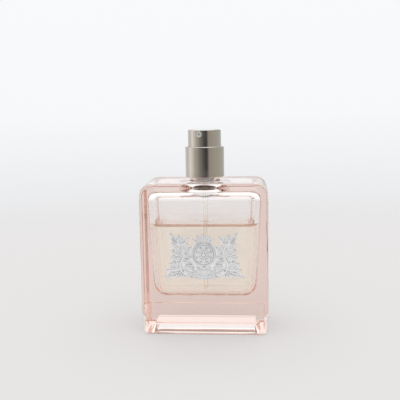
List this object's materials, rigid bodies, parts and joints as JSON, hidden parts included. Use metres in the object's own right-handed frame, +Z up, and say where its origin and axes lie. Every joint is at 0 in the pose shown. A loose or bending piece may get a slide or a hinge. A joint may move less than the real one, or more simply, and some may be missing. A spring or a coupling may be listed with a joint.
{
  "type": "perfume bottle",
  "caption": "Rectangular thick glass perfume bottle with a plinth foot, peach fill, metal front ornament and a crimped metal-clad fine-mist pump with a push button, no cap.",
  "frame": {"origin": "centre of the base, on the surface it stands on; the pump's axis is X = Y = 0", "axes": "+Z up along the pump's axis, the front face and emblem face -Y, +X to the right seen from the front"},
  "size_m": [0.0566, 0.0325, 0.0909],
  "materials": {
    "tinted_glass": "polished",
    "perfume": "liquid",
    "emblem_metal": "satin",
    "bright_metal": "polished",
    "ferrule_metal": "satin",
    "white_plastic": "moulded",
    "grey_plastic": "moulded",
    "clear_plastic": "moulded",
    "gasket_rubber": "matt",
    "spring_steel": "bright"
  },
  "bodies": {
    "bottle": {"glass_bottle": "tinted_glass", "perfume_liquid": "perfume", "front_emblem": "emblem_metal", "collar_shell": "bright_metal", "collar_liner": "white_plastic", "crimp_ferrule": "ferrule_metal", "neck_gasket": "gasket_rubber", "turret": "white_plastic", "stem_seal": "gasket_rubber", "pump_housing": "clear_plastic", "spring_seat": "white_plastic", "return_spring": "spring_steel", "dip_tube": "clear_plastic"},
    "stem": {"stem": "white_plastic", "poppet": "white_plastic", "precompression_spring": "spring_steel"},
    "button": {"actuator_shell": "bright_metal", "actuator_core": "white_plastic", "nozzle_insert": "grey_plastic"},
    "piston": {"main_piston": "clear_plastic"},
    "ball": {"check_ball": "spring_steel"}
  },
  "joints": [
    {"name": "button_press", "type": "slide", "parent": "bottle", "child": "stem", "axis": [0, 0, 1], "range_m": [-0.0036, 0], "stiffness_N_per_m": 1500, "springref_m": 0.004, "deforming": ["return_spring"]},
    {"name": "button_turn", "type": "hinge", "parent": "stem", "child": "button", "pos_m": [0, 0, 0.085], "axis": [0, 0, 1], "continuous": true},
    {"name": "piston_lift", "type": "slide", "parent": "stem", "child": "piston", "axis": [0, 0, 1], "range_m": [0, 0.0004], "stiffness_N_per_m": 2500, "springref_m": -0.0008, "deforming": ["precompression_spring"]},
    {"name": "ball_lift", "type": "slide", "parent": "bottle", "child": "ball", "axis": [0, 0, 1], "range_m": [0, 0.0003]}
  ]
}
